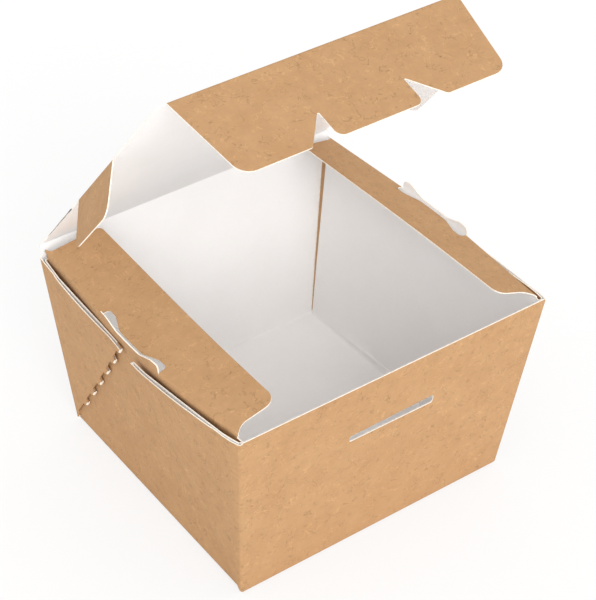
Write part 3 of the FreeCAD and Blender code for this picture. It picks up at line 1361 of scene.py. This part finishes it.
        loop = [flat(corner[0]), flat(corner[-1]), tuple(last), *edge, tuple(first)]
        board.panel(loop, sheet, shape=Bow(s, 1), painted_shade_edges=slit)
        away = np.array([0, end, 0])
        board.loop_strip(lines["corner_0"], lines["corner_1"], away, Skin.WHITE, Bow(s), 8)
        if end > 0:
            # A narrow groove of board closes the gap between the side wall and the back wall; its kraft face,
            # turned to the inside, is painted shade that stands in for the dark crevice there.
            edge_line = lines["corner_0"]
            rise = (edge_line[:, 2] - s.base_z) / s.rise
            back = edge_line.copy()
            foot_step, top_step = self.shade_groove_steps
            back[:, 0] -= side * (foot_step + top_step * rise)
            back[:, 1] = s.base_y + (s.top_y - s.base_y) * rise - self.shade_groove_back
            board.loop_strip(edge_line, back, away * 0.5, Skin.WHITE, Bow(s), 6)
        if whole_fold:
            run = diagonal[-1] - diagonal[0]
            bulge = -away - run * ((-away) @ run) / (run @ run)
            bulge /= np.linalg.norm(bulge)
            board.loop_strip(lines["diagonal_2"], diagonal, bulge, Skin.KRAFT, Bow(s, 1), 8)

    def build(self) -> bpy.types.Object:
        """Builds the tray and puts it on its body.

        Returns:
            The tray's board.
        """
        s = self.sizes
        board = BoardMesh(s.board)
        self.floor_and_sides(board)
        low = s.end_slant - self.slot_depth - self.slot_height / 2
        high = low + self.slot_height
        half = self.slot_length / 2
        left_low, left_high = low + self.slot_end_lift, high - self.slot_end_drop
        corners = ((-half, left_low), (half, low), (half, high), (-half, left_high))
        slot = rounded_outline([Rounded(p, self.slot_round) for p in corners], 3)
        self.end_sheet(board, -1, s.front_drop, s.end_slant, slot)
        hinge = s.lid_crease_rise / math.cos(math.radians(s.end_lean)) - Lid.crease(s).reach
        self.end_sheet(board, 1, s.rear_drop, s.end_slant + hinge, None)
        for side in (-1, 1):
            self.web(board, side, -1, s.front_drop, True)
            self.web(board, side, 1, s.rear_drop, False)
        return mounted(board.build("tray_board", self.finishes), "tray", "tray")


@dataclass
class WebBridges:
    """The short bridges that hold the perforated diagonal folds of the rear webs."""

    tray: Tray
    finish: bpy.types.Material
    length_share: float = 0.38
    width_share: float = 0.4
    spacing_share: float = 0.98

    def bridge(self) -> bpy.types.Object:
        """Makes one bridge, a half round of board along Z that swells toward X.

        Returns:
            The bridge, which the tree copies.
        """
        board = BoardMesh(self.tray.sizes.board)
        half = self.tray.perforation.bridge * self.length_share
        heights = np.linspace(-half, half, 3)
        radius = self.tray.sizes.layer_step * self.width_share
        first = np.array([(0, radius, z) for z in heights])
        second = np.array([(0, -radius, z) for z in heights])
        board.loop_strip(first, second, np.array([1.0, 0, 0]), Skin.KRAFT, None, 6)
        return board.build("web_bridge_pattern", [self.finish] * 3)

    def paths(self) -> bpy.types.Object:
        """Makes the two diagonals as lines of vertices, with the way that each fold swells.

        Returns:
            The lines, without faces.
        """
        s = self.tray.sizes
        points, edges, swells = [], [], []
        for side in (-1, 1):
            lines = self.tray.web_lines(side, 1, s.rear_drop, 60)
            middle = Bow(s, 1)((lines["diagonal_1"] + lines["diagonal_2"]) / 2)
            pattern, length = self.tray.perforation, self.tray.diagonal_length()
            first = round(pattern.first / length * len(middle))
            middle = middle[: round((1 - pattern.bridge / 2 / length) * len(middle))]
            run = middle[-1] - middle[0]
            bulge = np.array([0, -1.0, 0]) + run * run[1] / (run @ run)
            bulge /= np.linalg.norm(bulge)
            edges += [(len(points) + i, len(points) + i + 1) for i in range(len(middle) - first - 1)]
            points += (middle[first:] * MM).tolist()
            swells += bulge.tolist() * (len(middle) - first)
        mesh = bpy.data.meshes.new("web_bridge_paths")
        mesh.from_pydata(points, edges, [])
        mesh.attributes.new("swell", "FLOAT_VECTOR", "POINT").data.foreach_set("vector", swells)
        return linked("web_bridge_paths", mesh)

    def tree(self) -> bpy.types.NodeTree:
        """Makes the Geometry Nodes tree that sets a bridge at equal steps along each line.

        Returns:
            The tree.
        """
        group = bpy.data.node_groups.new("web_bridges", "GeometryNodeTree")
        inputs = {"Lines": "Geometry", "Bridge": "Object", "Spacing": "Float", "Finish": "Material"}
        for name, kind in inputs.items():
            group.interface.new_socket(name, in_out="INPUT", socket_type=f"NodeSocket{kind}")
        group.interface.new_socket("Bridges", in_out="OUTPUT", socket_type="NodeSocketGeometry")

        nodes = Nodes(group)
        lines, bridge, spacing, finish = (nodes.node("NodeGroupInput", output=name) for name in inputs)
        curve = nodes.node("GeometryNodeMeshToCurve", {}, {"Mesh": lines})
        steps = {"Curve": curve, "Length": spacing}
        even = nodes.node("GeometryNodeResampleCurve", {"mode": "LENGTH"}, steps)
        tangent = nodes.node("GeometryNodeInputTangent")
        vector = {"data_type": "FLOAT_VECTOR"}
        swell = nodes.node("GeometryNodeInputNamedAttribute", vector, {"Name": "swell"})
        align = "FunctionNodeAlignRotationToVector"
        upright = nodes.node(align, {"axis": "Z"}, {"Vector": tangent})
        way = {"Rotation": upright, "Vector": swell}
        aimed = nodes.node(align, {"axis": "X", "pivot_axis": "Z"}, way)
        shape = nodes.node("GeometryNodeObjectInfo", {}, {"Object": bridge}, "Geometry")
        copies = {"Points": even, "Instance": shape, "Rotation": aimed}
        placed = nodes.node("GeometryNodeInstanceOnPoints", {}, copies)
        real = nodes.node("GeometryNodeRealizeInstances", {}, {"Geometry": placed})
        dressed = nodes.node("GeometryNodeSetMaterial", {}, {"Geometry": real, "Material": finish})
        nodes.node("NodeGroupOutput", {}, {"Bridges": dressed})
        return group

    def build(self) -> bpy.types.Object:
        """Builds the bridges as one plain mesh on the tray's body.

        Returns:
            The bridges.
        """
        pattern, holder, tree = self.bridge(), self.paths(), self.tree()
        spacing = self.tray.perforation.spacing(self.tray.diagonal_length())
        modifier = holder.modifiers.new("bridges", "NODES")
        modifier.node_group = tree
        sockets = {item.name: item.identifier for item in tree.interface.items_tree if item.in_out == "INPUT"}
        modifier[sockets["Bridge"]] = pattern
        modifier[sockets["Spacing"]] = spacing * self.spacing_share * MM
        modifier[sockets["Finish"]] = self.finish
        seen = holder.evaluated_get(bpy.context.evaluated_depsgraph_get())
        mesh = bpy.data.meshes.new_from_object(seen)
        mesh.name = "web_bridges"
        piece = linked("web_bridges", mesh)
        for spare in (pattern, holder):
            bpy.data.objects.remove(spare)
        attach(piece, "tray")
        log.info("web_bridges: %d faces", len(mesh.polygons))
        return piece


@dataclass
class DustFlap:
    """A dust flap on a side wall's crease, raised by its spring.

    Its edges give each corner's place along the wall, its place out from the crease, and its radius.
    """

    sizes: BoxSizes
    finishes: Sequence[bpy.types.Material]
    side: int
    left_edge: tuple[Triple, ...] = (
        (62.4, 0, 0), (59.4, 0.9, 3), (55.4, 20.8, 3), (-58.9, 18.2, 4.5), (-58.0, 4.0, 6), (-60.8, 0, 0)
    )
    right_edge: tuple[Triple, ...] = (
        (62.4, 0, 0), (59.4, 0.9, 3), (55.4, 19.4, 3), (-57.6, 16.2, 4.5), (-58.6, 4.0, 6), (-62.0, 0, 0)
    )
    tab: LockTab = LockTab()
    cut_room: float = 0.15
    press_drop: float = 0.1
    press_keep: float = 0.08

    @staticmethod
    def crease(sizes: BoxSizes) -> Crease:
        """The crease in the side wall's own sheet, up the wall."""
        angle = 90 - sizes.dust_rise + sizes.layer_lean(0)
        return Crease((0, sizes.layer_slant(0)), (0, 1), angle, sizes.rim_radius)

    def build(self) -> bpy.types.Object:
        """Builds the flap, raised by its spring.

        Returns:
            The flap.
        """
        s = self.sizes
        crease = self.crease(s)
        slant, foot = s.layer_slant(0), s.layer_slant(0) - crease.reach
        cut = self.tab.outline(foot, slant, self.cut_room)
        corners: list[Point | Rounded] = []
        for x, y, radius in self.left_edge if self.side < 0 else self.right_edge:
            corners.append(Rounded((x, slant + y), radius) if radius else (x, slant + y))
        edge = rounded_outline(corners)
        outline = [(edge[0][0], foot), *edge, (edge[-1][0], foot), *reversed(cut)]
        sheet, node = side_sheet(s, self.side, 0, self.side), f"dust_flap_{SIDE_WORDS[self.side]}"
        piece = one_panel(f"{node}_board", self.finishes, s, outline, sheet, [crease], Bow(s))
        mounted(piece, "tray", node)
        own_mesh(piece)
        return piece


@dataclass
class Lid:
    """The lid and the crease strip that joins it to the back wall."""

    sizes: BoxSizes
    finishes: Sequence[bpy.types.Material]
    rear_half: float = 65.0
    front_half: float = 62.5
    corner: float = 4.0
    corner_inset: float = 1
    flap_start: float = 46.8
    flap_end: float = 85.2
    crown: float = 0.9
    crown_half: float = 62
    crown_rear_run: float = 60
    crown_front_run: float = 40

    @staticmethod
    def crease(sizes: BoxSizes) -> Crease:
        """The lid's crease in the back wall's sheet, at its own line."""
        return Crease((0, 0), (0, 1), 90 - sizes.lid_open + sizes.end_lean, sizes.rim_radius, 8)

    @property
    def sheet(self) -> FlatSheet:
        """The lid's own sheet: x, then the distance from the crease."""
        s, a = self.sizes, math.radians(self.sizes.lid_open)
        return FlatSheet((0, s.lid_y, s.lid_z), (1, 0, 0), (0, -math.cos(a), math.sin(a)), -1.0)

    def half_width(self, distance: float) -> float:
        """Half the lid's width at a distance from its crease."""
        return self.rear_half + (self.front_half - self.rear_half) * distance / self.sizes.lid_length

    def swell(self, points: np.ndarray) -> np.ndarray:
        """Lifts the lid to a slight crown.

        Args:
            points: places in millimetres.

        Returns:
            The moved points.
        """
        sheet = self.sheet
        rel = points - np.array(sheet.origin)
        d = rel @ np.array(sheet.up)
        crown = self.crown * np.clip(1 - (points[:, 0] / self.crown_half) ** 2, 0, 1)
        crown = crown * np.clip(d / self.crown_rear_run, 0, 1)
        crown = crown * np.clip((self.sizes.lid_length - d) / self.crown_front_run, 0, 1)
        return points + np.outer(crown, sheet.normal)

    def build(self) -> list[bpy.types.Object]:
        """Builds the lid's panel and its crease strip.

        Returns:
            Both pieces.
        """
        s = self.sizes
        start = self.crease(s).reach
        end = s.lid_length - LockFlap.crease(s).reach
        inset = SideFlap.crease_at(s, self, 1).reach
        right: list[Point | Rounded] = [(self.half_width(start), start)]
        for d in (self.flap_start, self.flap_end):
            edge = self.half_width(d)
            pair = [(edge, d), (edge - inset, d)]
            right += pair if d == self.flap_start else pair[::-1]
        front = s.lid_length - self.corner_inset
        right.append(Rounded((self.half_width(front), front), self.corner))
        right.append((LockFlap.root / 2, end))
        plain = rounded_outline([*right, (0, end)])[:-1]
        outline = [*plain, *mirrored(plain)]
        panel = one_panel("lid_board", self.finishes, s, outline, self.sheet, shape=self.swell)
        return [mounted(panel, "lid", "lid"), self.strip()]

    def strip(self) -> bpy.types.Object:
        """Builds the creased strip between the back wall and the lid.

        Returns:
            The strip.
        """
        s = self.sizes
        lean = math.radians(s.end_lean)
        sheet = FlatSheet((0, s.lid_y, s.lid_z), (1, 0, 0), (0, math.sin(lean), math.cos(lean)), -1.0)
        crease = self.crease(s)
        half, reach = self.rear_half, crease.reach
        box = [(-half, -reach), (half, -reach), (half, reach), (-half, reach)]
        piece = one_panel("lid_crease", self.finishes, s, box, sheet, [crease])
        start = sheet.place(np.array([[0, -reach]]), 0)[0] * MM
        end = self.sheet.place(np.array([[0, reach]]), 0)[0] * MM
        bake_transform(piece)
        return piece


@dataclass
class SideFlap:
    """A flap on the lid's side edge, turned in by its crease."""

    sizes: BoxSizes
    lid: Lid
    finishes: Sequence[bpy.types.Material]
    side: int
    width: float = 19.6
    end_length: float = 35.4
    corner: float = 5.0
    turn: float = 57.5
    shut_place: float = 63.3
    shut_keep: float = 0.06

    @classmethod
    def crease_at(cls, sizes: BoxSizes, lid: Lid, side: int) -> Crease:
        """Finds the crease along the lid's side edge, in the lid's sheet.

        Args:
            sizes: the box's sizes.
            lid: the lid.
            side: -1 left, 1 right.

        Returns:
            The crease.
        """
        start = (side * lid.half_width(lid.flap_start), lid.flap_start)
        slope = (lid.rear_half - lid.front_half) / sizes.lid_length
        return Crease(start, (side, slope), cls.turn, sizes.crease_radius)

    def build(self) -> bpy.types.Object:
        """Builds the flap, turned in by its crease.

        Returns:
            The flap.
        """
        s, lid = self.sizes, self.lid
        crease = self.crease_at(s, lid, self.side)
        way = crease.across
        along = np.array([-way[1], way[0]]) * self.side
        first = np.array(crease.start)
        length = lid.flap_end - lid.flap_start
        taper = (length - self.end_length) / 2

        def at(down: float, out: float) -> Point:
            """A place by its distances along and across the crease."""
            return tuple(first + along * down + way * out)

        outline = rounded_outline(
            [
                at(0, -crease.reach),
                at(0, crease.reach),
                Rounded(at(taper, self.width), self.corner),
                Rounded(at(length - taper, self.width), self.corner),
                at(length, crease.reach),
                at(length, -crease.reach),
            ]
        )
        node = f"side_flap_{SIDE_WORDS[self.side]}"
        piece = one_panel(f"{node}_board", self.finishes, s, outline, lid.sheet, [crease])
        mounted(piece, "lid", node)
        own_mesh(piece)
        return piece


@dataclass
class LockFlap:
    """The flap on the lid's front edge: two ears, a tongue between them, and its crease strip."""

    sizes: BoxSizes
    lid: Lid
    finishes: Sequence[bpy.types.Material]
    root: float = 118.6
    end: float = 109.0
    width: float = 36.5
    corner: float = 6.0
    tongue: float = 35.0
    cut_height: float = 24.0
    ear_gap: float = 10.5
    ear_round: float = 1.5
    cut_round: float = 0.5
    tongue_round: float = 3.0
    right_share: float = 0.985
    right_taper: float = 0.03
    turn: float = 66.6
    crease_radius: float = 0.9

    @classmethod
    def crease(cls, sizes: BoxSizes) -> Crease:
        """The crease in the lid's sheet."""
        return Crease((0, sizes.lid_length), (0, 1), cls.turn, cls.crease_radius, 8)

    def build(self) -> list[bpy.types.Object]:
        """Builds the flap and its crease strip.

        Returns:
            Both pieces.
        """
        s = self.sizes
        crease = self.crease(s)
        reach, length = crease.reach, s.lid_length
        right: list[Point | Rounded] = [
            (self.root / 2, length + reach),
            Rounded((self.end / 2, length + self.width), self.corner),
            Rounded((self.tongue / 2 + self.ear_gap, length + self.width), self.ear_round),
            Rounded((self.tongue / 2, length + self.cut_height), self.cut_round),
            Rounded((self.tongue / 2, length + self.width), self.tongue_round),
        ]
        plain = rounded_outline([*right, (0, length + self.width)])[:-1]
        narrowed = []
        for x, y in plain:
            share = self.right_share - self.right_taper * (y - length) / self.width
            narrowed.append((x * share, y))
        sheet = self.lid.sheet
        outline = [*narrowed, *mirrored(plain)]
        flap = one_panel("lock_flap_board", self.finishes, s, outline, sheet, [crease])
        mounted(flap, "lock_flap", "lock_flap")
        left, right_end = -self.root / 2, self.root / 2 * self.right_share
        low, high = length - reach, length + reach
        box = [(left, low), (right_end, low), (right_end, high), (left, high)]
        strip = one_panel("lock_flap_crease", self.finishes, s, box, sheet, [crease])
        start = sheet.place(np.array([[0, low]]), 0)
        end = crease.bend(sheet.place(np.array([[0, high]]), 0), sheet)
        tuple(start[0] * MM)
        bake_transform(strip)
        return [flap, strip]


@dataclass
class Studio:
    """Pale floor, soft light and the camera."""

    floor_colour: Colour = (0.93, 0.93, 0.93, 1)
    floor_glow: float = 0.965
    floor_glow_share: float = 0.74
    floor_half: float = 4.0
    floor_drop: float = 0.0002
    world_light: float = 0.98
    sun_light: float = 1.72
    sun_spread: float = 40
    sun_from: Triple = (-0.256, -0.82, 0.51)
    lens: float = 120.589
    sensor: float = 36.0
    reach: float = 20.0
    azimuth: float = -36.7497
    elevation: float = 39.2832
    roll: float = 1.3196
    distance: float = 0.786745
    aside: Point = (0.005345, 0.0545)

    def camera(self) -> None:
        """Makes the camera at the photograph's angle."""
        a, e, r = (math.radians(v) for v in (self.azimuth, self.elevation, self.roll))
        back = Vector((math.sin(a) * math.cos(e), -math.cos(a) * math.cos(e), math.sin(e)))
        level = Vector((math.cos(a), math.sin(a), 0))
        over = back.cross(level)
        right = level * math.cos(r) + over * math.sin(r)
        up = over * math.cos(r) - level * math.sin(r)
        data = bpy.data.cameras.new("camera")
        data.lens, data.sensor_width, data.clip_end = self.lens, self.sensor, self.reach
        camera = linked("camera", data)
        place = right * self.aside[0] + up * self.aside[1] + back * self.distance
        turn = Matrix((right, up, back)).transposed().to_4x4()
        camera.matrix_world = Matrix.Translation(place) @ turn
        bpy.context.scene.camera = camera

    def lamp(self) -> None:
        """Makes one broad soft sun."""
        data = bpy.data.lights.new("key", "SUN")
        data.energy, data.angle = self.sun_light, math.radians(self.sun_spread)
        linked("key", data).rotation_euler = Vector(self.sun_from).to_track_quat("Z", "Y").to_euler()

    def world(self) -> None:
        """Lights the scene evenly and shows white to the camera."""
        world = bpy.data.worlds.new("studio")
        bpy.context.scene.world = world
        world.use_nodes = True
        nodes = Nodes(world.node_tree)
        light = nodes.node("ShaderNodeBackground", {}, {"Color": WHITE, "Strength": self.world_light})
        seen = nodes.node("ShaderNodeBackground", {}, {"Color": WHITE})
        to_camera = nodes.node("ShaderNodeLightPath", output="Is Camera Ray")
        mixed = nodes.node("ShaderNodeMixShader", {}, {0: to_camera, 1: light, 2: seen})
        nodes.node("ShaderNodeOutputWorld", {}, {"Surface": mixed})

    def floor(self) -> None:
        """A wide pale floor, nearly white to the camera, that keeps a faint shadow."""
        s = Shader("studio_floor")
        plain = s.node("ShaderNodeBsdfDiffuse", {}, {"Color": self.floor_colour})
        glow = s.node("ShaderNodeEmission", {}, {"Color": WHITE, "Strength": self.floor_glow})
        seen = s.node("ShaderNodeLightPath", output="Is Camera Ray") * self.floor_glow_share
        surface = s.node("ShaderNodeMixShader", {}, {0: seen, 1: plain, 2: glow})
        s.node("ShaderNodeOutputMaterial", {}, {"Surface": surface})
        half = self.floor_half
        corners = [(-half, -half, 0), (half, -half, 0), (half, half, 0), (-half, half, 0)]
        mesh = bpy.data.meshes.new("floor")
        mesh.from_pydata(corners, [], [(0, 1, 2, 3)])
        mesh.materials.append(s.material)
        ground = linked("floor", mesh)
        ground.location.z = -self.floor_drop

    def build(self) -> None:
        """Makes everything round the box."""
        self.camera()
        self.lamp()
        self.world()
        self.floor()
        bpy.context.scene.view_settings.view_transform = "Standard"


def main() -> None:
    """Builds the box and its studio."""
    logging.basicConfig(level=logging.INFO, format="%(name)s: %(message)s")
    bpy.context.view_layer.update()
    sizes = BoxSizes()
    finishes = [KraftFinish().make(), WhiteFinish().make(), CutFinish().make()]
    tray = Tray(sizes, finishes)
    lid = Lid(sizes, finishes)
    pieces = [tray.build(), WebBridges(tray, finishes[2]).build()]
    pieces += [DustFlap(sizes, finishes, side).build() for side in (-1, 1)]
    pieces += lid.build()
    pieces += [SideFlap(sizes, lid, finishes, side).build() for side in (-1, 1)]
    pieces += LockFlap(sizes, lid, finishes).build()
    Studio().build()
    log.info("%d pieces", len(pieces))


if __name__ == "__main__":
    main()
